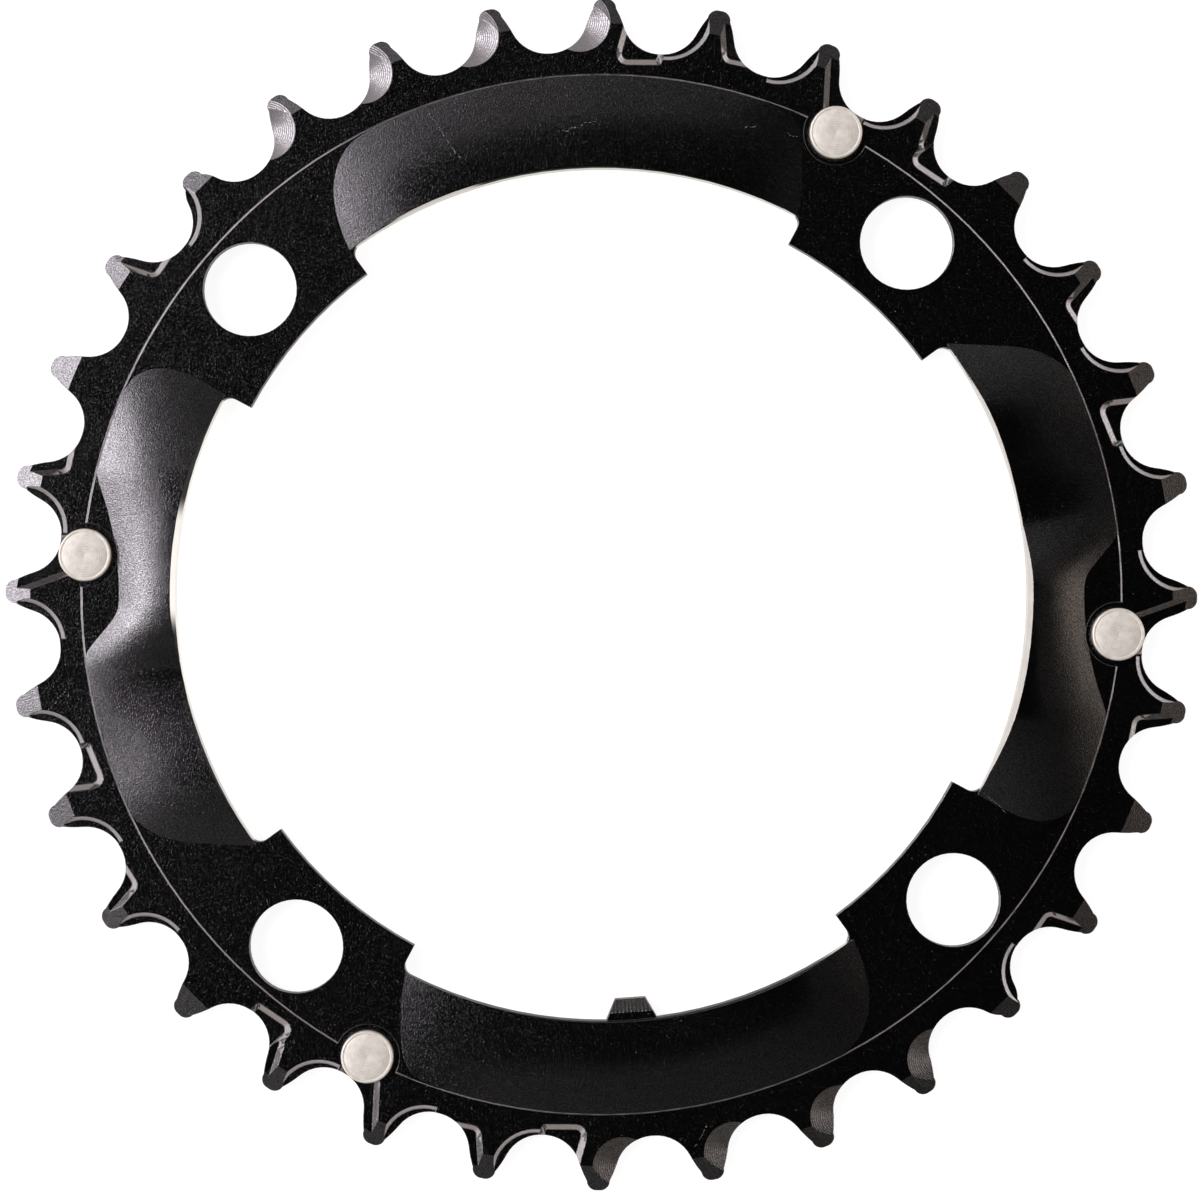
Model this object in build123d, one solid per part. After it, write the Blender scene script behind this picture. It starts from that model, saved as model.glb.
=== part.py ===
from build123d import *
import math
import os

# Bolt circle
bolt_circle_diameter = 104.0
bolt_count = 4
bolt_hole_diameter = 10.45
first_bolt_angle = 45.0
bolt_rim = 3.2
bolt_circle_radius = bolt_circle_diameter / 2

# Chain and teeth: the fewest teeth whose roots leave the rim outside the bolt holes, 32 here
chain_pitch = 12.7
roller_diameter = 7.75
root_clearance = 0.225
seat_radius = 4.3
seat_half_flat = 0.1
seat_wrap_angle = 67.0
first_tooth_angle = 6.9
tooth_height_over_pitch = 1.8
short_tooth_cut = 0.7
short_tooth = 11
tip_half_width = 1.28
tip_corner_radius = 1.08
least_root_radius = bolt_circle_radius + bolt_hole_diameter / 2 + bolt_rim
root_inset = roller_diameter / 2 + root_clearance
least_pitch_radius = least_root_radius + root_inset
tooth_count = math.ceil(math.pi / math.asin(chain_pitch / (2 * least_pitch_radius)))
pitch_radius = chain_pitch / (2 * math.sin(math.pi / tooth_count))
root_radius = pitch_radius - root_inset
tip_radius = pitch_radius + tooth_height_over_pitch
pitch_angle = 360.0 / tooth_count
half_set = tooth_count // 2

# Plate section, from the back face at z = 0
tab_thickness = 3.2
band_width = 2.7
band_drop = 0.15
band_step_run = 0.14
tooth_thickness = 2.1
back_step_inset = 0.55
back_step_draft = 0.2
tip_bevel_inset = 1.0
tip_bevel_angle = 15.0
back_bevel_angle = 10.5
band_z = tab_thickness - band_drop
band_inner_radius = root_radius - band_width
tooth_back_z = band_z - tooth_thickness
back_step_radius = root_radius - back_step_inset
tip_bevel_start = pitch_radius - tip_bevel_inset

# Bore, bolt tabs and crank locating tab
bore_inset = 4.4
tab_inset = 7.6
tab_half_angle = 12.9
tab_root_radius = 1.2
bore_radius = bolt_circle_radius - bore_inset
tab_inner_radius = bolt_circle_radius - tab_inset
key_angle = -90.0
key_base_width = 5.8
key_tip_width = 3.4
key_height = 2.4
key_bevel_depth = 0.82
key_bevel_run = 1.44

# Shift ramps, cut into the front of the tooth band
rebate_depth = 0.37
rebate_wall_angle = 57.0
flank_wall_angle = 46.0
rebate_radius = 5.1
rebate_shift_along = 0.62
rebate_shift_out = 0.4
rebate_end_offset = 0.65
wedge_top_offset = -0.35
wedge_foot_offset = 1.3
wedge_shelf_height = 0.2
wedge_corner_radius = 1.2
slope_top_offset = -0.85
slope_foot_offset = 2.35
slope_corner_radius = 0.25
pocket_depth = 0.42
pocket_floor_drop = 1.55
pocket_near_offset = 0.9
pocket_far_offset = 6.2
pocket_lean = 0.27
pocket_end_rise = 0.8
pocket_corner_radius = 1.3
scallop_radius = 3.42
scallop_shift_along = 2.78
scallop_shift_in = 0.82
scallop_angle = 27.0
scallop_depth = 1.3
cut_margin = 0.3

# Raised lobes between the bolt tabs: each end has a lean and a corner, clockwise end first,
# and the crest's height is listed against the share of the lobe's length from that end
lobe_overlap = 0.3
lobe_foot_slope = 0.2
lobe_foot_angle = 60.0
lobe_margin = 1.0
lobe_crest_inset = 0.4
lobe_bore_lean = 27.0
lobe_lean_rise = 0.45
side_lobe_ends = ((0.0, 7.0), (39.0, 5.0))
top_lobe_ends = ((28.0, 4.0), (13.0, 9.0))
side_lobe_crest = ((0.0, 0.85), (0.2, 1.4), (0.46, 1.4), (0.6, 0.45), (0.86, 1.0), (1.0, 1.0))
top_lobe_crest = ((0.0, 0.4), (0.5, 0.7), (1.0, 1.0))
lobe_rise = max(height for share, height in side_lobe_crest + top_lobe_crest)
lobe_outer_radius = band_inner_radius + lobe_overlap
lobe_crest_radius = bore_radius + lobe_crest_inset

# The side lobes step in round a pin, to a straight floor between two leaning flanks
boss_turn = 2.0
boss_floor_inset = 4.0
boss_flanks = ((-3.7, 23.5, 3.0), (4.3, 37.0, 0.8))
boss_corner = 1.0

# Pick-up pins
pin_root_inset = 2.9
pin_teeth = (4, 14)
boss_pin_tooth = 14
pin_tooth_offset = 0.637
pin_head_diameter = 5.85
pin_head_height = 1.3
pin_head_chamfer = 0.25
pin_dimple_radius = 0.8
pin_dimple_depth = 0.1
pin_shank_diameter = 3.2
pin_tail_diameter = 3.8
pin_tail_height = 0.5
pin_seat_diameter = 7.2
pin_circle_radius = root_radius - pin_root_inset


def tooth_angle(index):
    """Angle of a tooth's middle line; the index may be a fraction."""
    return first_tooth_angle + index * pitch_angle


def polar(radius, angle):
    """Point at a radius and an angle in degrees about the ring's axis."""
    turn = math.radians(angle)
    return Vector(radius * math.cos(turn), radius * math.sin(turn))


def beside(angle, along, out):
    """Point in a tooth's own axes: along is clockwise from its middle line, out is radial."""
    return polar(out, angle) + polar(along, angle - 90)


def near(vertices, points):
    """The vertices that lie at any of the points."""
    slack = tip_corner_radius / 10
    return [v for v in vertices if min((Vector(*v) - point).length for point in points) < slack]


def turned(section):
    """Solid of revolution about the Z axis, from a half section in radius and height."""
    return revolve(make_face(Plane.XZ * section), Axis.Z)


def half_valley(index, side):
    """Half of the roller seat and the flank up to the tip corner, on one side of a tooth."""
    tooth = tooth_angle(index)
    valley = tooth - side * pitch_angle / 2
    wrap = math.radians(seat_wrap_angle)
    centre_out = root_radius + seat_radius
    height = tip_radius - (short_tooth_cut if index % half_set == short_tooth else 0.0)
    corner = tip_corner_radius * math.sqrt(0.5)
    middle = beside(valley, 0, root_radius)
    seat_foot = beside(valley, -side * seat_half_flat, root_radius)
    seat_middle = beside(
        valley,
        -side * (seat_half_flat + seat_radius * math.sin(wrap / 2)),
        centre_out - seat_radius * math.cos(wrap / 2),
    )
    seat_end = beside(
        valley,
        -side * (seat_half_flat + seat_radius * math.sin(wrap)),
        centre_out - seat_radius * math.cos(wrap),
    )
    rise = beside(valley, -side * math.cos(wrap), math.sin(wrap))
    flank_end = beside(tooth, side * tip_half_width, height - tip_corner_radius)
    inner = tip_half_width - tip_corner_radius
    corner_middle = beside(tooth, side * (inner + corner), height - tip_corner_radius + corner)
    corner_end = beside(tooth, side * inner, height)
    return [
        Line(middle, seat_foot),
        ThreePointArc(seat_foot, seat_middle, seat_end),
        TangentArc(seat_end, flank_end, tangent=rise),
        ThreePointArc(flank_end, corner_middle, corner_end),
    ], corner_end


def tooth_outline():
    """Outer edge of the ring: roller seats, flanks and tips, all the way round."""
    edges = []
    for index in range(tooth_count):
        right, right_tip = half_valley(index, 1)
        left, left_tip = half_valley(index, -1)
        edges += right + left + [Line(right_tip, left_tip)]
    return make_face(edges)


def bore_outline():
    """The open middle: a round bore, less the four bolt tabs and the crank locating tab."""
    bore = Circle(bore_radius)
    roots = []
    far = bore_radius + tab_root_radius
    for number in range(bolt_count):
        bolt = first_bolt_angle + number * 360 / bolt_count
        start, end = bolt - tab_half_angle, bolt + tab_half_angle
        inner = [polar(tab_inner_radius, angle) for angle in (start, bolt, end)]
        outer = [polar(far, angle) for angle in (end, bolt, start)]
        bore -= make_face([
            ThreePointArc(*inner),
            Line(inner[-1], outer[0]),
            ThreePointArc(*outer),
            Line(outer[-1], inner[0]),
        ])
        roots += [polar(bore_radius, start), polar(bore_radius, end)]
    bore = fillet(near(bore.vertices(), roots), tab_root_radius)
    key_tip = bore_radius - key_height
    return bore - make_face(Polyline(
        beside(key_angle, -key_base_width / 2, bore_radius),
        beside(key_angle, -key_tip_width / 2, key_tip),
        beside(key_angle, key_tip_width / 2, key_tip),
        beside(key_angle, key_base_width / 2, bore_radius),
        beside(key_angle, key_base_width / 2, far),
        beside(key_angle, -key_base_width / 2, far),
        close=True,
    ))


def plate_outline():
    """The plate seen from the front: teeth, bore and bolt holes."""
    bolts = PolarLocations(bolt_circle_radius, bolt_count, first_bolt_angle)
    return tooth_outline() - bore_outline() - bolts * Circle(bolt_hole_diameter / 2)


def turned_envelope():
    """What the lathe leaves: the stepped tooth band and the bevelled tooth tips."""
    reach = tip_radius + cut_margin - tip_bevel_start
    front_fall = reach * math.tan(math.radians(tip_bevel_angle))
    back_rise = reach * math.tan(math.radians(back_bevel_angle))
    return turned(Polyline(
        (0, 0),
        (back_step_radius, 0),
        (back_step_radius + back_step_draft, tooth_back_z),
        (tip_bevel_start, tooth_back_z),
        (tip_bevel_start + reach, tooth_back_z + back_rise),
        (tip_bevel_start + reach, band_z - front_fall),
        (tip_bevel_start, band_z),
        (band_inner_radius + band_step_run, band_z),
        (band_inner_radius, tab_thickness),
        (0, tab_thickness),
        close=True,
    ))


def sunk_shape(index, corners, depth, radius):
    """Cutter with sloping walls, from corners in a tooth's axes on the band; the second is rounded."""
    points = [beside(tooth_angle(index), *corner) for corner in corners]
    face = make_face(Polyline(*points, close=True))
    face = fillet(near(face.vertices(), [points[1]]), radius)
    spread = cut_margin * math.tan(math.radians(rebate_wall_angle))
    face = Pos(0, 0, band_z + cut_margin) * offset(face, amount=spread)
    return extrude(face, -(depth + cut_margin), taper=rebate_wall_angle)


def wedge_cut(index):
    """Right-hand rebate: a straight wall down the tooth that turns out along a shelf."""
    shelf = root_radius + wedge_shelf_height
    far = chain_pitch / 2
    top = tip_radius + cut_margin
    corners = [(wedge_top_offset, top), (wedge_foot_offset, shelf), (far, shelf), (far, top)]
    return sunk_shape(index, corners, rebate_depth, wedge_corner_radius)


def slope_cut(index):
    """Right-hand rebate whose straight wall runs down to the pick-up pin."""
    foot = pin_circle_radius + slope_corner_radius
    far = chain_pitch / 2
    top = tip_radius + cut_margin
    corners = [(slope_top_offset, top), (slope_foot_offset, foot), (far, foot), (far, top)]
    return sunk_shape(index, corners, rebate_depth, slope_corner_radius)


def pocket_cut(index):
    """Deeper pocket in the valley on the right of a tooth."""
    floor = root_radius - pocket_floor_drop
    near_lean = pocket_near_offset + pocket_lean * (tip_radius - floor)
    far = pocket_far_offset + pocket_depth
    corners = [
        (near_lean, tip_radius),
        (pocket_near_offset, floor),
        (pocket_far_offset, floor),
        (far, floor + pocket_end_rise),
        (far, tip_radius),
    ]
    return sunk_shape(index, corners, pocket_depth, pocket_corner_radius)


def flank_cut(index):
    """Left-hand rebate: a round sinking beside the roller seat, ended near the valley's middle."""
    valley = tooth_angle(index + 0.5)
    run = math.tan(math.radians(flank_wall_angle))
    height = rebate_depth + cut_margin
    centre = beside(valley, rebate_shift_along, pitch_radius + rebate_shift_out)
    cone = Pos(centre.X, centre.Y, band_z - rebate_depth + height / 2) * Cone(
        rebate_radius - run * rebate_depth, rebate_radius + run * cut_margin, height)
    side = 2 * (rebate_radius + run * cut_margin) + chain_pitch
    middle = beside(valley, rebate_end_offset + side / 2, pitch_radius)
    return cone & (Pos(middle.X, middle.Y, band_z) * Rot(0, 0, valley) * Box(side, side, side))


def scallop_cut(index):
    """Left-hand bevel: part of a wide cone that leans the whole flank back."""
    centre = beside(tooth_angle(index), -scallop_shift_along, pitch_radius - scallop_shift_in)
    run = 1 / math.tan(math.radians(scallop_angle))
    height = scallop_depth + cut_margin
    return Pos(centre.X, centre.Y, band_z - scallop_depth + height / 2) * Cone(
        scallop_radius - run * scallop_depth, scallop_radius + run * cut_margin, height)


def ramp_cuts():
    """Every ramp, rebate and bevel; the set comes twice, half a turn apart."""
    flank_teeth = (0, 1, 2, 4, 5, 6, 11, 14, 15)
    wedge_teeth = (2, 4, 6, 12, 14)
    slope_teeth = (5, 15)
    pocket_teeth = (1, 4, 7)
    scallop_teeth = (7, 8, 9, 10)
    cuts = []
    for half in (0, half_set):
        cuts += [flank_cut(half + index) for index in flank_teeth]
        cuts += [wedge_cut(half + index) for index in wedge_teeth]
        cuts += [slope_cut(half + index) for index in slope_teeth]
        cuts += [pocket_cut(half + index) for index in pocket_teeth]
        cuts += [scallop_cut(half + index) for index in scallop_teeth]
    return cuts


def blend(first, second, width):
    """The smaller of two distances, eased where they are close, which rounds the corner between them."""
    ease = max(width - abs(first - second), 0) / width
    return min(first, second) - width * ease ** 2 / 4


def pin_angle(index):
    """Angle of the pick-up pin in the valley after a tooth."""
    return tooth_angle(index + pin_tooth_offset)


def boss_inset(point, angle):
    """How far a point lies from the notch that a boss leaves in a lobe's edge; negative in it."""
    out = point.dot(polar(1, angle)) - pin_circle_radius + boss_floor_inset
    along = point.dot(polar(1, angle + 90))
    inset = -out
    for start, lean, corner in boss_flanks:
        turn = math.radians(lean)
        past = math.copysign(1, start) * (along - start)
        flank = past * math.sin(turn) - out * math.cos(turn)
        inset = -blend(-inset, -flank, corner)
    return inset


def edge_inset(point, boss):
    """How far a point lies inside a lobe's long edge; negative outside it."""
    inset = lobe_outer_radius - point.length
    if boss:
        inset = blend(inset, boss_inset(point, boss), boss_corner)
    return inset


def crest_height(crest, share):
    """Height of a lobe's crest at a share of its length, eased between the listed heights."""
    share = min(max(share, 0), 1)
    low, high = next(pair for pair in zip(crest, crest[1:]) if share <= pair[1][0])
    step = (share - low[0]) / (high[0] - low[0])
    return low[1] + (high[1] - low[1]) * step ** 2 * (3 - 2 * step)


def lobe_height(step, rise):
    """Height over the tabs, from the share of the way in to the crest: a slope that eases to level."""
    if step < 0:
        return 2 * rise * step
    return rise * (1 - (1 - min(step, 1)) ** 2)


def lobe_crown(start, end, ends, boss, crest):
    """The swelling face of a lobe, from heights over a grid of radii and angles."""
    rows = 24
    columns = 100
    low = bore_radius - lobe_margin
    high = lobe_outer_radius + lobe_margin
    spare = math.degrees(lobe_margin / bore_radius)
    grid = []
    for row in range(rows + 1):
        radius = low + (high - low) * row / rows
        line = []
        for column in range(columns + 1):
            angle = start - spare + (end - start + 2 * spare) * column / columns
            point = polar(radius, angle)
            inset = edge_inset(point, boss)
            for foot, normal, corner in ends:
                inset = blend(inset, (point - foot).dot(normal), corner)
            run = edge_inset(polar(lobe_crest_radius, angle), boss)
            rise = crest_height(crest, (angle - start) / (end - start))
            line.append(point + Vector(0, 0, tab_thickness + lobe_height(inset / run, rise)))
        grid.append(line)
    return Face.make_surface_from_array_of_points(grid)


def lobe(number):
    """One raised lobe between two bolt tabs, whose edge leans back from the bore."""
    start = first_bolt_angle + number * 360 / bolt_count + tab_half_angle
    end = first_bolt_angle + (number + 1) * 360 / bolt_count - tab_half_angle
    beside_pin = number % 2 == 1
    (start_lean, start_corner), (end_lean, end_corner) = side_lobe_ends if beside_pin else top_lobe_ends
    crest = side_lobe_crest if beside_pin else top_lobe_crest
    ends = [
        (polar(bore_radius, start), polar(1, start + start_lean + 90), start_corner),
        (polar(bore_radius, end), polar(1, end - end_lean - 90), end_corner),
    ]
    boss = None
    if beside_pin:
        boss_tooth = boss_pin_tooth + (half_set if number > 1 else 0)
        boss = pin_angle(boss_tooth) + boss_turn
    block = extrude(lobe_crown(start, end, ends, boss, crest), tab_thickness + lobe_rise, dir=(0, 0, -1))
    foot_slope = math.tan(math.radians(lobe_foot_angle))
    foot = band_inner_radius + (lobe_overlap * lobe_foot_slope + band_drop) / foot_slope
    apex = band_z + foot * foot_slope
    cone = turned(Polyline((0, band_z), (foot, band_z), (0, apex), close=True))
    ring = extrude(Pos(0, 0, band_z) * (Circle(foot + lobe_margin) - Circle(bore_radius)), apex)
    lean = math.tan(math.radians(lobe_bore_lean))
    lean_z = tab_thickness + lobe_lean_rise
    leaned = turned(Polyline(
        (0, lean_z),
        (bore_radius, lean_z),
        (bore_radius + apex * lean, lean_z + apex),
        (0, lean_z + apex),
        close=True,
    ))
    return (block & ring & cone) - leaned


def key_bevel():
    """Leaning block that slopes the inner end of the crank locating tab."""
    lean = math.degrees(math.atan2(key_bevel_depth, key_bevel_run))
    reach = 2 * key_bevel_run
    block = Box(reach, key_base_width, reach, align=(Align.MAX, Align.CENTER, Align.MIN))
    crest = Pos(bore_radius - key_height + key_bevel_run, 0, tab_thickness)
    return Rot(0, 0, key_angle) * crest * Rot(0, -lean, 0) * block


def pin_section(head):
    """Half section of a pin, with its formed head, or of the hole that it fills."""
    shank = pin_shank_diameter / 2
    tail = pin_tail_diameter / 2
    flare = (tail - shank) / pin_tail_height
    if not head:
        low = -cut_margin
        return Polyline(
            (0, low),
            (tail - flare * low, low),
            (shank, pin_tail_height),
            (shank, tab_thickness),
            (0, tab_thickness),
            close=True,
        )
    top = band_z + pin_head_height
    rim = pin_head_diameter / 2
    return Polyline(
        (0, 0),
        (tail, 0),
        (shank, pin_tail_height),
        (shank, band_z),
        (rim, band_z),
        (rim, top - pin_head_chamfer),
        (rim - pin_head_chamfer, top),
        (pin_dimple_radius, top),
        (0, top - pin_dimple_depth),
        close=True,
    )


pin_valleys = [half + index for half in (0, half_set) for index in pin_teeth]
pin_places = [Pos(polar(pin_circle_radius, pin_angle(index))) for index in pin_valleys]
seat_height = lobe_rise + pin_head_height
seat = Pos(0, 0, band_z + seat_height / 2) * Cylinder(pin_seat_diameter / 2, seat_height)
pin_hole = turned(pin_section(head=False))

plate = extrude(plate_outline(), tab_thickness) & turned_envelope()
plate -= ramp_cuts() + [key_bevel()]
plate += [lobe(number) for number in range(bolt_count)]
plate -= [place * seat for place in pin_places] + [place * pin_hole for place in pin_places]
pin = turned(pin_section(head=True))

os.makedirs("parts", exist_ok=True)
export_step(plate, "parts/chainring_plate.step")
for number, place in enumerate(pin_places, 1):
    export_step(place * pin, f"parts/pickup_pin_{number}.step")
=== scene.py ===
# %% [markdown]
# # A black chainring on a white table
# The part is a flat ring of black anodised aluminium with 32 teeth. Four steel pins are riveted
# through it, and they catch the chain when it shifts. The solids come ready made and at their real
# size, so this lesson gives them their finish: broken edges, blasted grain, tool marks, studio light.

# %% Load the solids
import math

import bpy
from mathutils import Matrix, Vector


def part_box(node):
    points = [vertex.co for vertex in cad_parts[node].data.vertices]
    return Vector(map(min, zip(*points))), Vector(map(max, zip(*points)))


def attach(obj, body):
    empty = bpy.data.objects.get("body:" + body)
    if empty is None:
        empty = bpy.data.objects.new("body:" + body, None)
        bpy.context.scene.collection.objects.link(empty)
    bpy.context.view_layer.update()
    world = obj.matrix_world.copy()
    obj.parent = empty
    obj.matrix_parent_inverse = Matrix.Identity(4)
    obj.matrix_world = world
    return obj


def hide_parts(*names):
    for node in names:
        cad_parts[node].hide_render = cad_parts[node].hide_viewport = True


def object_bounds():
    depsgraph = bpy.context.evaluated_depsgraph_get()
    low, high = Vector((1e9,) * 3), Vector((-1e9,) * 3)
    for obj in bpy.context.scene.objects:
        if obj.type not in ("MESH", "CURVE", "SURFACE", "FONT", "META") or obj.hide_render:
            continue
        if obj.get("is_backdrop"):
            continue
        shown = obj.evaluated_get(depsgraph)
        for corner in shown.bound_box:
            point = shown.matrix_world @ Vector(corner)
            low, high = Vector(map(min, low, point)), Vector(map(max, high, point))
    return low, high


MM = 0.001


def in_mm(corners):
    """The corners of a box in millimetres, rounded for printing."""
    return [tuple(round(value / MM, 2) for value in corner) for corner in corners]


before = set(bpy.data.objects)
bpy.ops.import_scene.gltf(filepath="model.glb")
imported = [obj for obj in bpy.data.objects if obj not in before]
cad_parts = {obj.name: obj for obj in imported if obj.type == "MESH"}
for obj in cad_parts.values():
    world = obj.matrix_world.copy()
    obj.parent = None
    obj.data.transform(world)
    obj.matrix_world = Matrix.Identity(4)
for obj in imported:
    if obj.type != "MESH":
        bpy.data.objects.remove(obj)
cad_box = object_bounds()
scene = bpy.context.scene
scene.view_settings.view_transform = "Standard"
print("solids:", sorted(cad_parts), "box:", in_mm(cad_box))

# %% [markdown]
# ## The camera
# The photograph looks straight down on the ring from about arm's length. That is far enough for the
# teeth not to lean outwards, and near enough for a thin strip of the bore's wall to show. The ring
# lies turned by four degrees, so the camera is turned the other way. A place that is known from the
# picture is needed again later, so `on_plate` turns pixels into metres.

# %% Camera
photo_size = (1200, 1193)
ring_centre_px = (601.5, 594.6)
pixel = 0.1116 * MM
ring_turn = math.radians(4.04)
tab_height = 3.2 * MM
camera_height = 750 * MM
sensor_width = 36


def on_plate(x, y):
    """Where a point of the picture lies on the ring, in metres from its axis."""
    right = (x - ring_centre_px[0]) * pixel
    up = (ring_centre_px[1] - y) * pixel
    return Vector((
        right * math.cos(ring_turn) + up * math.sin(ring_turn),
        up * math.cos(ring_turn) - right * math.sin(ring_turn),
        0,
    ))


aim = on_plate(photo_size[0] / 2, photo_size[1] / 2)
bpy.ops.object.camera_add(location=(aim.x, aim.y, camera_height), rotation=(0, 0, -ring_turn))
camera = bpy.context.object
camera.name = "camera"
camera.data.sensor_width = sensor_width
camera.data.lens = sensor_width * (camera_height - tab_height) / (photo_size[0] * pixel)
scene.camera = camera
print("lens:", round(camera.data.lens, 1), "mm")

# %% [markdown]
# ## Helpers for modelling
# An operator acts on all that is selected, so each step starts by selecting one piece alone.
# Every piece is put on the ring's single body, and the solid it stands for is hidden.

# %% Selecting and placing
def select_only(piece):
    bpy.ops.object.select_all(action="DESELECT")
    piece.select_set(True)
    bpy.context.view_layer.objects.active = piece


def edit(piece):
    select_only(piece)
    bpy.ops.object.mode_set(mode="EDIT")
    bpy.ops.mesh.select_all(action="SELECT")


def done(piece):
    bpy.ops.object.mode_set(mode="OBJECT")
    print(piece.name, "has", len(piece.data.polygons), "faces")


def stands_for(piece, node):
    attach(piece, "root")
    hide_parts(node)


# %% [markdown]
# ## The plate
# A plate like this is forged, turned and milled, and then tumbled, so every edge is broken by a few
# hundredths of a millimetre. A knife-sharp edge never catches light and looks like a drawing. The
# solid's mesh is loose triangles, so a copy of it is merged, its flat faces are joined up again, and
# a narrow bevel is run along every edge that turns sharply enough.

# %% Plate with broken edges
edge_break = 0.05 * MM
merge_gap = 0.001 * MM
flat_angle = math.radians(0.3)
broken_from = math.radians(28)
crease_from = math.radians(9)

plate = bpy.data.objects.new("plate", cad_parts["chainring_plate"].data.copy())
scene.collection.objects.link(plate)
edit(plate)
bpy.ops.mesh.customdata_custom_splitnormals_clear()
bpy.ops.mesh.remove_doubles(threshold=merge_gap)
bpy.ops.mesh.dissolve_limited(angle_limit=flat_angle)
done(plate)
bevel = plate.modifiers.new("edge break", "BEVEL")
bevel.width = edge_break
bevel.segments = 2
bevel.limit_method = "ANGLE"
bevel.angle_limit = broken_from
bevel.use_clamp_overlap = False
bpy.ops.object.modifier_apply(modifier=bevel.name)
bpy.ops.object.shade_smooth_by_angle(angle=crease_from)

# %% [markdown]
# The lobes rise from the flats by only a few degrees, and smooth shading would blur the line where
# they start. An edge on that line has a level face on one side and a leaning one on the other, which
# is easy to find in code, and marking it sharp keeps the shading of the two apart.

# %% Crisp foot of the lobes
flat_level = math.cos(math.radians(0.3))
foot_level = math.cos(math.radians(3))

edit(plate)
bpy.ops.mesh.select_mode(type="EDGE")
bpy.ops.mesh.select_all(action="DESELECT")
done(plate)
levels = {}
for face in plate.data.polygons:
    for key in face.edge_keys:
        levels.setdefault(key, []).append(face.normal.z)
for edge in plate.data.edges:
    edge.select = max(levels[edge.key]) > flat_level and min(levels[edge.key]) < foot_level
print("foot of the lobes:", sum(edge.select for edge in plate.data.edges), "edges")
bpy.ops.object.mode_set(mode="EDIT")
bpy.ops.mesh.mark_sharp()
bpy.ops.mesh.select_mode(type="FACE")
done(plate)
stands_for(plate, "chainring_plate")

# %% [markdown]
# ## The pins
# Each pin is turned on a lathe: a flat head with a bright chamfer, a shallow ring left by the tool,
# and a small dimple at the middle. The tail is flush with the back. The pin is made as a lathe would,
# from one disc that is pulled up and scaled ring by ring, and it is copied to the other three places.

# %% Profile of a pin
pin_tail, pin_shank, pin_head = 1.9 * MM, 1.6 * MM, 2.925 * MM
tail_rise = 0.5 * MM
seat_height = 3.05 * MM
head_top = 4.35 * MM
rim_chamfer = 0.16 * MM
groove_radius, groove_width, groove_depth = 2.55 * MM, 0.16 * MM, 0.02 * MM
dimple_radius, dimple_depth = 0.34 * MM, 0.03 * MM

profile = [
    (pin_tail, 0),
    (pin_shank, tail_rise),
    (pin_shank, seat_height),
    (pin_head, seat_height),
    (pin_head, head_top - rim_chamfer),
    (pin_head - rim_chamfer / 3, head_top - rim_chamfer / 3),
    (pin_head - rim_chamfer, head_top),
    (groove_radius + groove_width / 2, head_top),
    (groove_radius, head_top - groove_depth),
    (groove_radius - groove_width / 2, head_top),
    (dimple_radius, head_top),
    (dimple_radius / 2, head_top - dimple_depth * 0.75),
    (dimple_radius / 10, head_top - dimple_depth),
]
print("rings of a pin:", len(profile))

# %% One turned pin
pin_sides = 72
pin_crease = math.radians(20)


def node_middle(node):
    low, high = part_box(node)
    return (low + high) / 2


pin_nodes = [name for name in sorted(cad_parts) if name.startswith("pickup_pin")]
first = node_middle(pin_nodes[0])
bpy.ops.mesh.primitive_circle_add(
    vertices=pin_sides, radius=profile[0][0], fill_type="NGON", location=(first.x, first.y, 0))
pin = bpy.context.object
pin.name = pin_nodes[0].replace("pickup_", "turned_")
select_only(pin)
bpy.ops.object.transform_apply(location=True, rotation=True, scale=True)
edit(pin)
bpy.ops.mesh.flip_normals()
for (radius, height), (next_radius, next_height) in zip(profile, profile[1:]):
    bpy.ops.mesh.extrude_region_move(
        TRANSFORM_OT_translate={"value": (0, 0, next_height - height)})
    bpy.ops.transform.resize(
        value=(next_radius / radius, next_radius / radius, 1),
        center_override=(first.x, first.y, next_height))
bpy.ops.mesh.select_all(action="SELECT")
bpy.ops.mesh.normals_make_consistent(inside=False)
done(pin)
bpy.ops.object.shade_smooth_by_angle(angle=pin_crease)

# %% The other three pins
pins = [pin]
for node in pin_nodes[1:]:
    step = node_middle(node) - first
    select_only(pin)
    bpy.ops.object.duplicate()
    twin = bpy.context.object
    twin.name = node.replace("pickup_", "turned_")
    edit(twin)
    bpy.ops.transform.translate(value=(step.x, step.y, 0))
    done(twin)
    pins.append(twin)
for piece, node in zip(pins, pin_nodes):
    stands_for(piece, node)

# %% [markdown]
# ## Writing shaders as sums
# A finish is mostly arithmetic on coordinates, and arithmetic is easier to read as Python than as a
# web of nodes. A `Wire` is one output of a node, and adding two wires adds a Math node.

# %% Wires
class Wire:
    """One output socket of a shader tree."""

    def __init__(self, shader, socket):
        self.shader = shader
        self.socket = socket

    def math(self, operation, *values):
        return self.shader.node("Math", {"operation": operation}, dict(enumerate(values)))

    def __add__(self, other):
        return self.math("ADD", self, other)

    def __radd__(self, other):
        return self.math("ADD", other, self)

    def __sub__(self, other):
        return self.math("SUBTRACT", self, other)

    def __rsub__(self, other):
        return self.math("SUBTRACT", other, self)

    def __mul__(self, other):
        return self.math("MULTIPLY", self, other)

    def __rmul__(self, other):
        return self.math("MULTIPLY", other, self)

    def __lt__(self, other):
        return self.math("LESS_THAN", self, other)

    def __gt__(self, other):
        return self.math("GREATER_THAN", self, other)

    def __abs__(self):
        return self.math("ABSOLUTE", self)

    def sine(self):
        return self.math("SINE", self)


# %% [markdown]
# Every other node comes from `Shader.node`, which takes its type, its settings and its sockets. Three
# kinds are used again and again, so they have short names: a soft step, a mix of colours, and one
# part of a vector.

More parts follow.
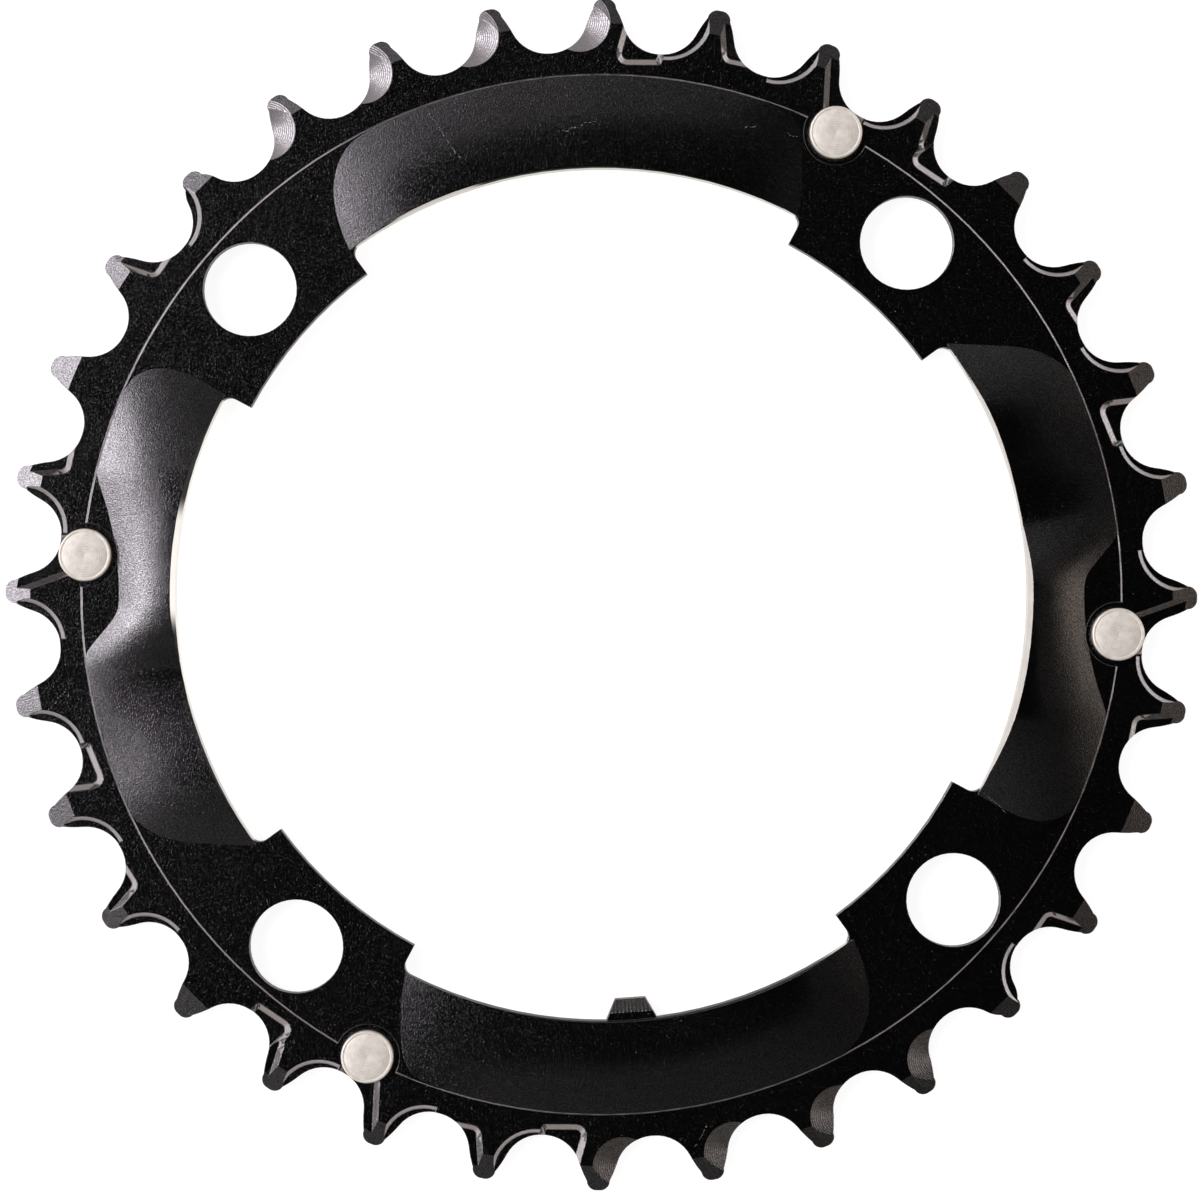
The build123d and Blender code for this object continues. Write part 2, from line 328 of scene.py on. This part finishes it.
# %% Shaders
class Shader:
    """A node tree of a material or the world, emptied first."""

    def __init__(self, owner):
        owner.use_nodes = True
        self.tree = owner.node_tree
        self.tree.nodes.clear()

    def node(self, kind, settings=None, sockets=None, output=0):
        made = self.tree.nodes.new("ShaderNode" + kind)
        for name, value in (settings or {}).items():
            setattr(made, name, value)
        for name, value in (sockets or {}).items():
            if isinstance(value, Wire):
                self.tree.links.new(value.socket, made.inputs[name])
            else:
                made.inputs[name].default_value = value
        return Wire(self, made.outputs[output]) if made.outputs else made

    def span(self, value, low, high):
        """0 below low, 1 above high, and smooth between."""
        return self.node(
            "MapRange", {"interpolation_type": "SMOOTHSTEP"}, {0: value, 1: low, 2: high}, "Result")

    def mix(self, share, first, second):
        """The first colour where the share is 0, the second where it is 1."""
        return self.node("Mix", {"data_type": "RGBA"}, {0: share, 6: first, 7: second}, 2)

    def part(self, vector, axis):
        """One part of a vector: X, Y or Z."""
        return self.node("SeparateXYZ", None, {"Vector": vector}, axis)


def material(name):
    made = bpy.data.materials.new(name)
    return made, Shader(made)


def dress(piece, finish):
    piece.data.materials.clear()
    piece.data.materials.append(finish)
    print(piece.name, "wears", finish.name, "of", len(finish.node_tree.nodes), "nodes")


# %% [markdown]
# The painted highlights and painted shade on the bore, and all the lights, lie to one side of the
# ring.
# A bearing is counted as in the picture, in degrees from the right and anticlockwise, and is turned
# with the ring.

# %% Masks by bearing
def bearing(shader, east, north, photo_angle, inner, outer):
    """1 within the inner angle of a bearing in the picture, 0 past the outer one."""
    turn = math.radians(photo_angle) - ring_turn
    along = east * math.cos(turn) + north * math.sin(turn)
    across = north * math.cos(turn) - east * math.sin(turn)
    angle = across.math("ARCTAN2", across, along)
    return 1 - shader.span(abs(angle), math.radians(inner), math.radians(outer))


# %% [markdown]
# ## Black anodised aluminium
# Anodising leaves a hard clear oxide over dyed metal, so the plate is nearly black, and what is seen
# of it is mirrored light. The metal was blasted before it was dyed, and the blast left dents a
# fraction of a millimetre across, which break every highlight into grain. The grain is a bump on the
# Object coordinates, so it has its real size wherever the plate lies.

# %% Blasted grain
dent_size, dent_depth = 0.15 * MM, 0.025 * MM
fine_size, fine_share = 0.08 * MM, 0.3
pit_size, pit_share = 0.13 * MM, 0.6
pit_from, pit_full = 0.36, 0.64


def noise(shader, place, size, detail=0.0):
    return shader.node("TexNoise", None, {"Vector": place, "Scale": 1 / size, "Detail": detail})


def blasted(shader, place):
    """Height of the blasted grain, in metres."""
    dents = noise(shader, place, dent_size, 1.0)
    fine = noise(shader, place, fine_size)
    return (dents + fine * fine_share) * dent_depth


def pitted(shader, place):
    """Share of the mirrored light that is lost in pits."""
    return shader.span(noise(shader, place, pit_size, 1.0), pit_from, pit_full) * pit_share


print("dents:", round(dent_size / MM, 2), "mm across, pits:", round(pit_size / MM, 2), "mm")

# %% [markdown]
# Eight of the teeth have one flank leaned back by a small conical cutter, which left fine rings about
# its own axis. The nearest of the eight axes is the least of eight distances, and a sine of that
# distance gives the rings. They stop at the edge of the cut, which lies below the plate's face.

# %% Rings of the cutter
tooth_count, first_tooth = 32, math.radians(6.9)
scalloped_teeth = [7, 8, 9, 10, 23, 24, 25, 26]
cutter_out, cutter_aside, cutter_reach = 63.965 * MM, 2.78 * MM, 3.42 * MM
cut_face = 3.02 * MM
ring_pitch, ring_depth = 0.24 * MM, 0.007 * MM


def cutter_axis(tooth):
    angle = first_tooth + tooth * math.tau / tooth_count
    return (
        cutter_out * math.cos(angle) - cutter_aside * math.sin(angle),
        cutter_out * math.sin(angle) + cutter_aside * math.cos(angle),
    )


def cutter_rings(x, y, z):
    """Height of the cutter's rings, in metres, and 1 on the cuts, 0 elsewhere."""
    reach = None
    for tooth in scalloped_teeth:
        axis_x, axis_y = cutter_axis(tooth)
        square = (x - axis_x) * (x - axis_x) + (y - axis_y) * (y - axis_y)
        here = square.math("SQRT", square)
        reach = here if reach is None else here.math("MINIMUM", reach, here)
    inside = (reach < cutter_reach) * (z < cut_face)
    return (reach * (math.tau / ring_pitch)).sine() * inside * ring_depth, inside


print("cutter axes:", in_mm(cutter_axis(tooth) for tooth in scalloped_teeth))

# %% [markdown]
# The locating key at the bottom of the bore has a sloping end with straight grooves along it. They
# are a sine across the key, cut off at its sides and its two ends.

# %% Grooves of the key
key_half, key_inner, key_outer = 3 * MM, 45 * MM, 46.7 * MM
key_pitch, key_depth = 0.42 * MM, 0.012 * MM


def key_grooves(x, y):
    """Height of the fine grooves on the locating key's sloping end, in metres."""
    wave = (x * (math.tau / key_pitch)).sine()
    return wave * (abs(x) < key_half) * (y < -key_inner) * (y > -key_outer) * key_depth


print("grooves on the key:", int(2 * key_half / key_pitch))

# %% [markdown]
# A few thin scratches and specks of dust show on the real ring. A scratch is a line between two
# places of the picture, broken up by a noise, and it shows the pale metal below the dye.

# %% Scratches and dust
scratches = [
    ((708, 1125), (696, 1147)),
    ((48, 710), (68, 688)),
    ((983, 792), (1007, 812)),
    ((430, 113), (460, 160)),
    ((563, 132), (597, 120)),
    ((745, 127), (756, 125)),
    ((786, 133), (797, 137)),
]
scratch_width = 0.1 * MM
wander, wander_size = 0.6 * MM, 0.9 * MM
gap_size, gap_below = 0.16 * MM, 0.56
dust_pitch, dust_radius = 6 * MM, 0.09 * MM


def scratched(shader, place, x, y):
    """1 on a scratch, 0 elsewhere."""
    marks = 0
    sway = (noise(shader, place, wander_size) - 0.5) * wander
    for start, end in scratches:
        start, end = on_plate(*start), on_plate(*end)
        way = (end - start).normalized()
        along = (x - start.x) * way.x + (y - start.y) * way.y
        across = (y - start.y) * way.x - (x - start.x) * way.y + sway
        on_line = (along > 0) * (along < (end - start).length)
        marks = (abs(across) < scratch_width / 2) * on_line + marks
    return marks * (noise(shader, place, gap_size) > gap_below)


def dusty(shader, place):
    """1 on a speck of dust, 0 elsewhere."""
    nearest = shader.node(
        "TexVoronoi", None, {"Vector": place, "Scale": 1 / dust_pitch}, "Distance")
    return nearest * dust_pitch < noise(shader, place, dust_pitch) * dust_radius


print("scratches:", len(scratches))

# %% [markdown]
# The walls of the ramps and the scallops at the top of the ring are pale. Their pale colour is
# painted
# highlight: a bright metal colour, which mirrors more than the dye, goes on every face that leans
# part way and on the top scallops only. A ramp's wall is told by how far its face leans, which is the
# height of Geometry's normal.

# %% Painted highlight on the plate's walls
# Painted highlight: faces that lean part way, and the top scallops, take a bright metal colour.
ramp_from, ramp_full = 0.4, 0.6
ramp_fading, ramp_end = 0.845, 0.865
scallop_highlight = 0.6


def painted_highlight_mask(shader, level, y, scallop):
    """1 where the plate gets the bright metal of painted highlight, 0 where it is dyed."""
    ramp = shader.span(level, ramp_from, ramp_full) * (1 - shader.span(level, ramp_fading, ramp_end))
    return shader.span(scallop * (y > 0) * scallop_highlight + ramp, 0, 1)


def normal_height(shader):
    """1 on faces that look up, 0 on upright walls, -1 on the back."""
    return shader.part(shader.node("NewGeometry", output="Normal"), "Z")


# %% [markdown]
# A blasted surface mirrors in two ways at once, as a tight glint with a wide haze round it. One
# Principled shader has one roughness, so two are mixed that differ in nothing else, and a third that
# mirrors nothing stands for the pits. The flat faces are blacker than the lobes in the photograph, so
# they have no haze, and upright walls are rougher than both.

# %% Anodised finish
dyed = (0.0005, 0.0005, 0.0005, 1)
# Painted highlight: a bright metal colour that mirrors more than the dye, on leaning walls and top
# scallops.
highlight_metal = (0.35, 0.345, 0.35, 1)
pale_mark = (0.13, 0.125, 0.12, 1)
glint_roughness, haze_roughness = 0.1, 0.28
wall_roughness, mark_roughness, cloud_roughness = 0.25, 0.3, 0.05
wall_from, wall_to = 0.1, 0.5
curved_to, flat_from = 0.9965, 0.9993
cloud_size = 12 * MM
haze_share = 0.28
oxide_ior = 2.0


def anodised_finish():
    finish, shader = material("black anodised aluminium")
    place = shader.node("TexCoord", output="Object")
    x, y, z = (shader.part(place, axis) for axis in "XYZ")
    level = abs(normal_height(shader))
    wall = 1 - shader.span(level, wall_from, wall_to)
    curved = 1 - shader.span(level, curved_to, flat_from)
    rings, scallop = cutter_rings(x, y, z)
    # Painted highlight mask: leaning walls and top scallops get the bright metal colour.
    metal_and_highlight = painted_highlight_mask(shader, level, y, scallop)
    mark = scratched(shader, place, x, y) + dusty(shader, place)
    colour = shader.mix(mark, shader.mix(metal_and_highlight, dyed, highlight_metal), pale_mark)
    cloud = noise(shader, place, cloud_size, 3.0)
    uneven = cloud * cloud_roughness + wall * wall_roughness + mark * mark_roughness
    height = blasted(shader, place) + rings + key_grooves(x, y)
    bump = shader.node("Bump", None, {"Height": height, "Distance": 1.0}, "Normal")
    shared = {"Base Color": colour, "Metallic": metal_and_highlight, "Normal": bump}
    glint, haze = (
        shader.node("BsdfPrincipled", None, {
            **shared, "Roughness": uneven + roughness, "IOR": oxide_ior})
        for roughness in (glint_roughness, haze_roughness))
    pit = shader.node("BsdfPrincipled", None, {
        **shared, "Roughness": 1.0, "Specular IOR Level": 0.0})
    mirror = shader.node("MixShader", None, {0: curved * haze_share, 1: glint, 2: haze})
    surface = shader.node("MixShader", None, {0: pitted(shader, place), 1: mirror, 2: pit})
    shader.node("OutputMaterial", None, {"Surface": surface})
    return finish


dress(plate, anodised_finish())

# %% [markdown]
# ## The bare bore, with painted highlights and shade
# A thin bright wall shows along the lobes, as if the bore was turned after dyeing, and it is given
# bare metal. The leaning part above that wall gets a bright metal colour along three arcs only, which
# is painted highlight, and is dyed elsewhere. The wall is made brighter still on the left, which is
# painted highlight too, and it takes the dye colour at the bottom of the ring, which is painted
# shade.

# %% Bore finish
# Painted light set by bearing: highlights on three arcs, a brighter arc on the left, shade at the
# bottom.
highlight_arcs = [(2, 24, 32), (113, 3, 9), (176, 5, 10)]
shaded_arc = (270, 25, 40)
highlight_arc, highlight_share = (176, 15, 25), 0.65
lean_from, lean_to = 0.15, 0.3
feed_pitch, feed_depth = 0.12 * MM, 0.002 * MM
smear_size, smear_share = 1.5 * MM, 0.35
bore_dull, bore_bright = (0.5, 0.485, 0.445, 1), (0.95, 0.935, 0.88, 1)
bore_roughness, bore_smear = 0.4, 0.15
bore_specular = 0.15


def bore_finish():
    finish, shader = material("bare aluminium")
    place = shader.node("TexCoord", output="Object")
    x, y, z = (shader.part(place, axis) for axis in "XYZ")
    upright = 1 - shader.span(normal_height(shader), lean_from, lean_to)
    # Painted shade at the bottom of the wall, and painted highlights on three arcs of the leaning
    # part.
    metal_and_highlight = upright * (1 - bearing(shader, x, y, *shaded_arc))
    for arc in highlight_arcs:
        metal_and_highlight = shader.span(bearing(shader, x, y, *arc) + metal_and_highlight, 0, 1)
    smear = noise(shader, place, smear_size, 3.0)
    # The brighter arc on the left is painted highlight; the smear is random.
    shine = smear * smear_share + bearing(shader, x, y, *highlight_arc) * highlight_share
    colour = shader.mix(metal_and_highlight, dyed, shader.mix(shine, bore_dull, bore_bright))
    feed = (z * (math.tau / feed_pitch)).sine()
    bump = shader.node("Bump", None, {"Height": feed * feed_depth, "Distance": 1.0}, "Normal")
    surface = shader.node("BsdfPrincipled", None, {
        "Base Color": colour, "Metallic": metal_and_highlight, "Roughness": smear * bore_smear + bore_roughness,
        "Specular IOR Level": bore_specular, "Normal": bump})
    shader.node("OutputMaterial", None, {"Surface": surface})
    return finish


plate.data.materials.append(bore_finish())
print("finishes on the plate:", len(plate.data.materials))

# %% [markdown]
# The second finish goes to the faces at the bore's radius that look at the axis. They are found by
# the distance of their middle from the axis and by their normal.

# %% Faces of the bore
bore_from, bore_to = 47.5 * MM, 48.6 * MM
toward_axis = -0.6

edit(plate)
bpy.ops.mesh.select_all(action="DESELECT")
bpy.ops.object.mode_set(mode="OBJECT")
for face in plate.data.polygons:
    out = Vector((face.center.x, face.center.y, 0))
    inward = face.normal.dot(out.normalized()) < toward_axis
    face.select = inward and bore_from < out.length < bore_to
print("bore wall:", sum(face.select for face in plate.data.polygons), "faces")
bpy.ops.object.mode_set(mode="EDIT")
plate.active_material_index = 1
bpy.ops.object.material_slot_assign()
done(plate)

# %% [markdown]
# ## Bare steel
# The pin heads are turned and left bare. Fine rings round the middle of each head spread its glints
# sideways, and a duller ring lies near the rim. Each pin gets the rings about its own centre, because
# a pattern on Object coordinates is centred on the chainring.

# %% Pin finish
turning_pitch, turning_depth = 0.24 * MM, 0.0015 * MM
wave_length = 0.314
steel_smear = 0.7 * MM
worn_from, worn_full, worn_fading, worn_end = 1.9 * MM, 2.25 * MM, 2.5 * MM, 2.7 * MM
steel_dull, steel_bright = (0.46, 0.45, 0.4, 1), (0.76, 0.745, 0.67, 1)
steel_metallic, steel_roughness = 0.7, 0.5


def pin_finish(centre):
    finish, shader = material("turned steel")
    place = shader.node("TexCoord", output="Object")
    own = shader.node("Mapping", None, {"Vector": place, "Location": (-centre.x, -centre.y, 0)})
    rings = shader.node("TexWave", {"wave_type": "RINGS", "rings_direction": "Z"}, {
        "Vector": own, "Scale": wave_length / turning_pitch, "Distortion": 7.0, "Detail": 3.0}, "Fac")
    smear = noise(shader, own, steel_smear, 4.0)
    out = shader.node("VectorMath", {"operation": "LENGTH"}, {0: own}, "Value")
    worn = shader.span(out, worn_from, worn_full) * (1 - shader.span(out, worn_fading, worn_end))
    shine = shader.span(smear, 0.25, 0.75) * 0.4 + rings * 0.3 - worn * 0.25 + 0.2
    bump = shader.node("Bump", None, {
        "Height": rings, "Distance": turning_depth, "Strength": 1.0}, "Normal")
    surface = shader.node("BsdfPrincipled", None, {
        "Base Color": shader.mix(shine, steel_dull, steel_bright), "Metallic": steel_metallic,
        "Roughness": smear * 0.1 + steel_roughness, "Normal": bump})
    shader.node("OutputMaterial", None, {"Surface": surface})
    return finish


for piece, node in zip(pins, pin_nodes):
    dress(piece, pin_finish(node_middle(node)))

# %% [markdown]
# ## The white table
# The photograph's ground is pure white. The table is white to the camera and to mirrored light, and
# still takes the ring's shadow, because part of what it shows is ordinary lit paper.

# %% Table
table_size, table_drop = 12, 0.02 * MM
table_glow = 0.9
lit_paper, plain_paper = (0.25, 0.25, 0.25, 1), (0.8, 0.8, 0.8, 1)

bpy.ops.object.select_all(action="DESELECT")
bpy.ops.mesh.primitive_plane_add(size=table_size, location=(0, 0, -table_drop))
table = bpy.context.object
table.name = "table"
table_white, shader = material("white table")
seen = shader.node("LightPath", output="Is Camera Ray")
mirrored = shader.node("LightPath", output="Is Glossy Ray")
through = shader.node("LightPath", output="Is Transmission Ray")
looked_at = shader.node(
    "Math", {"operation": "ADD", "use_clamp": True}, {0: seen, 1: mirrored + through})
glow = shader.node("Emission", None, {"Strength": table_glow})
paper = shader.node("BsdfDiffuse", None, {"Color": lit_paper})
shown = shader.node("AddShader", None, {0: glow, 1: paper})
plain = shader.node("BsdfDiffuse", None, {"Color": plain_paper})
mixed = shader.node("MixShader", None, {0: looked_at, 1: plain, 2: shown})
shader.node("OutputMaterial", None, {"Surface": mixed})
dress(table, table_white)
table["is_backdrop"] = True

# %% [markdown]
# ## Light
# A black mirror shows only what stands round it, so the light is drawn where the mirror looks: in the
# world. Straight above the ring it is dark, which keeps the flat faces black. Each light has a wide
# soft edge, given by its bearing and by its angle from the zenith.

# %% Parts of the sky
world = bpy.data.worlds.new("studio")
scene.world = world
studio = Shader(world)
facing = studio.node("TexCoord", output="Generated")
east, north, height = (studio.part(facing, axis) for axis in "XYZ")
zenith = height.math("ARCCOSINE", height)


def toward(photo_angle, inner, outer):
    return bearing(studio, east, north, photo_angle, inner, outer)


def below(upper, lower):
    """0 nearer the zenith than the upper angle, 1 past the lower one."""
    return studio.span(zenith, math.radians(upper), math.radians(lower))


def band(start, full, fading, end):
    """1 between two angles from the zenith, with a soft edge on both sides."""
    return below(start, full) * (1 - below(fading, end))


def light(colour, strength):
    return studio.node("Background", None, {"Color": colour + (1,), "Strength": strength})


# %% [markdown]
# A bright cool softbox stands high on the left, and two weaker ones under it reach the scallops and
# the walls. A low cool one stands on the right with a warm card above it, and a warm glow lies all
# round the horizon. The rest is a dim room, darker on the right and below. To the camera itself the
# world is plain white.

# %% Studio
cool_white = (0.985, 0.92, 1.0)
warm_white = (1.0, 0.8, 0.66)
plain_white = (1.0, 0.96, 0.94)

high_left = (10.5 * toward(168, 5, 38) + toward(150, 20, 62)) * band(15, 29, 44, 54)
middle_left = 1.3 * toward(188, 42, 70) * band(46, 52, 57, 62)
low_left = toward(172, 36, 60) * below(56, 66)
low_right = 1.6 * toward(22, 24, 50) * below(60, 70)
warm_card = 1.2 * toward(4, 16, 46) * band(30, 46, 50, 60)
horizon = 0.45 * below(50, 70)
shade = 1 - 0.85 * toward(-30, 30, 70) * (1 - below(32, 44))
room = 0.32 * below(14, 30) * shade + 0.002

lit = light(plain_white, room)
for lamp in (
    light(cool_white, high_left + middle_left + low_left),
    light(cool_white, low_right),
    light(warm_white, warm_card + horizon),
):
    lit = studio.node("AddShader", None, {0: lit, 1: lamp})
camera_ray = studio.node("LightPath", output="Is Camera Ray")
white = studio.node("Background", None, {"Strength": 1.0})
shown = studio.node("MixShader", None, {0: camera_ray, 1: lit, 2: white})
studio.node("OutputWorld", None, {"Surface": shown})
print("nodes of light:", len(world.node_tree.nodes))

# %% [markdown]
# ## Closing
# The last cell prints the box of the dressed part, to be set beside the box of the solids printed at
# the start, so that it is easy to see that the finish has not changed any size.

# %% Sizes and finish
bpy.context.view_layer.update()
print("dressed box:", in_mm(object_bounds()))
